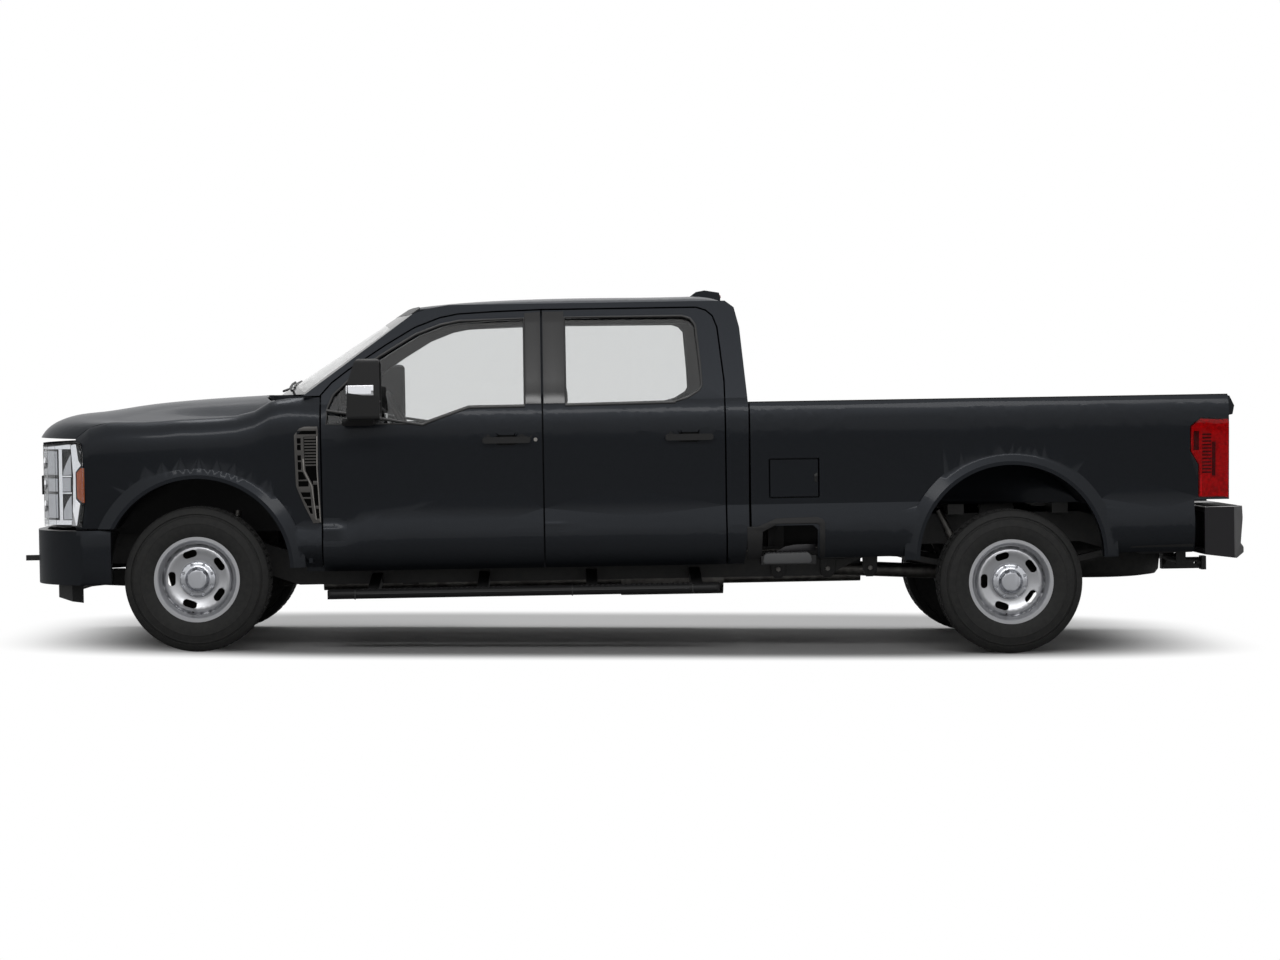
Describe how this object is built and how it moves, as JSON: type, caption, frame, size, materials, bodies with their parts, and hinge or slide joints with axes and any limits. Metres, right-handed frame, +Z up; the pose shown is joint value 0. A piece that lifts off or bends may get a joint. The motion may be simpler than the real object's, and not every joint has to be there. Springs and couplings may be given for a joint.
{
  "type": "pickup truck",
  "caption": "Full-size crew cab pickup truck with a long cargo bed, hinged doors, hood and tailgate, and steered front wheels.",
  "frame": {"origin": "on the floor, under the middle of the truck's box", "axes": "the truck faces -X, +Z is up, and its left side is at -Y"},
  "size_m": [6.8072, 2.596, 2.0242],
  "materials": {
    "body_paint": "dark grey metallic paint, satin clear coat",
    "black_plastic": "grained black polypropylene",
    "chassis_black": "wax coated black steel",
    "cast_iron": "dark casting",
    "lamp_clear": "clear moulded lens over bright reflectors",
    "lamp_red": "red moulded lens",
    "glass": "tempered glass",
    "tyre": "black rubber",
    "wheel_silver": "silver painted steel",
    "seat_fabric": "dark grey woven cloth",
    "interior": "soft dark moulding",
    "steel_bare": "plain steel pipe"
  },
  "bodies": {
    "root": {"frame": "chassis_black", "engine_block": "cast_iron", "radiator": "chassis_black", "front_bumper": "body_paint", "air_dam": "black_plastic", "grille": "black_plastic", "headlamps": "lamp_clear", "front_fenders": "body_paint", "wheel_liners": "black_plastic", "cab": "body_paint", "cab_floor": "body_paint", "cab_back": "body_paint", "roof": "body_paint", "cab_glass": "glass", "dashboard": "interior", "front_seats": "seat_fabric", "rear_seats": "seat_fabric", "running_boards": "black_plastic", "bed_floor": "body_paint", "bed_sides": "body_paint", "tail_lamps": "lamp_red", "rear_bumper": "chassis_black", "bed_steps": "black_plastic", "fuel_tank": "black_plastic", "exhaust": "steel_bare", "rear_axle": "cast_iron", "leaf_springs": "chassis_black", "front_axle": "cast_iron", "spare_wheel": "tyre", "drive_shaft": "steel_bare", "bed_caps": "black_plastic", "hitch": "chassis_black", "core_support": "chassis_black", "gearbox": "cast_iron", "seat_bases": "interior", "bed_beams": "chassis_black"},
    "front_door_left": {"front_door_left": "body_paint", "front_door_glass_left": "glass", "mirror_left": "black_plastic"},
    "rear_door_left": {"rear_door_left": "body_paint", "rear_door_glass_left": "glass"},
    "knuckle_left": {"knuckle_left": "cast_iron"},
    "front_wheel_left": {"front_tyre_left": "tyre", "front_rim_left": "wheel_silver"},
    "rear_wheel_left": {"rear_tyre_left": "tyre", "rear_rim_left": "wheel_silver"},
    "front_door_right": {"front_door_right": "body_paint", "front_door_glass_right": "glass", "mirror_right": "black_plastic"},
    "rear_door_right": {"rear_door_right": "body_paint", "rear_door_glass_right": "glass"},
    "knuckle_right": {"knuckle_right": "cast_iron"},
    "front_wheel_right": {"front_tyre_right": "tyre", "front_rim_right": "wheel_silver"},
    "rear_wheel_right": {"rear_tyre_right": "tyre", "rear_rim_right": "wheel_silver"},
    "hood": {"hood": "body_paint"},
    "tailgate": {"tailgate": "body_paint"},
    "fuel_door": {"fuel_door": "body_paint"}
  },
  "joints": [
    {"name": "front_door_left_hinge", "type": "hinge", "parent": "root", "child": "front_door_left", "pos_m": [-1.6365, -0.983, 1.13575], "axis": [-0.0209, 0, 0.9998], "range_deg": [-65, 0]},
    {"name": "rear_door_left_hinge", "type": "hinge", "parent": "root", "child": "rear_door_left", "pos_m": [-0.42376, -0.983, 1.16116], "axis": [-0.0209, 0, 0.9998], "range_deg": [-70, 0]},
    {"name": "steer_left", "type": "hinge", "parent": "root", "child": "knuckle_left", "pos_m": [-2.37687, -0.765, 0.39965], "axis": [0, 0, 1], "range_deg": [-32, 32]},
    {"name": "front_wheel_left_roll", "type": "hinge", "parent": "knuckle_left", "child": "front_wheel_left", "pos_m": [-2.37687, -0.8685, 0.39965], "axis": [0, 1, 0], "continuous": true},
    {"name": "rear_wheel_left_roll", "type": "hinge", "parent": "root", "child": "rear_wheel_left", "pos_m": [2.09313, -0.853, 0.39965], "axis": [0, 1, 0], "continuous": true},
    {"name": "front_door_right_hinge", "type": "hinge", "parent": "root", "child": "front_door_right", "pos_m": [-1.6365, 0.983, 1.13575], "axis": [-0.0209, 0, 0.9998], "range_deg": [0, 65]},
    {"name": "rear_door_right_hinge", "type": "hinge", "parent": "root", "child": "rear_door_right", "pos_m": [-0.42376, 0.983, 1.16116], "axis": [-0.0209, 0, 0.9998], "range_deg": [0, 70]},
    {"name": "steer_right", "type": "hinge", "parent": "root", "child": "knuckle_right", "pos_m": [-2.37687, 0.765, 0.39965], "axis": [0, 0, 1], "range_deg": [-32, 32]},
    {"name": "front_wheel_right_roll", "type": "hinge", "parent": "knuckle_right", "child": "front_wheel_right", "pos_m": [-2.37687, 0.8685, 0.39965], "axis": [0, 1, 0], "continuous": true},
    {"name": "rear_wheel_right_roll", "type": "hinge", "parent": "root", "child": "rear_wheel_right", "pos_m": [2.09313, 0.853, 0.39965], "axis": [0, 1, 0], "continuous": true},
    {"name": "hood_hinge", "type": "hinge", "parent": "root", "child": "hood", "pos_m": [-2.07497, 0, 1.34462], "axis": [0, 1, 0], "range_deg": [0, 45]},
    {"name": "tailgate_hinge", "type": "hinge", "parent": "root", "child": "tailgate", "pos_m": [3.24601, 0, 0.92396], "axis": [0, 1, 0], "range_deg": [0, 89]},
    {"name": "fuel_door_hinge", "type": "hinge", "parent": "root", "child": "fuel_door", "pos_m": [0.8186, -0.968, 0.96613], "axis": [-0.0209, 0, 0.9998], "range_deg": [-90, 0]}
  ],
  "couplings": [
    {"joint": "steer_right", "follows": "steer_left", "ratio": 1}
  ]
}
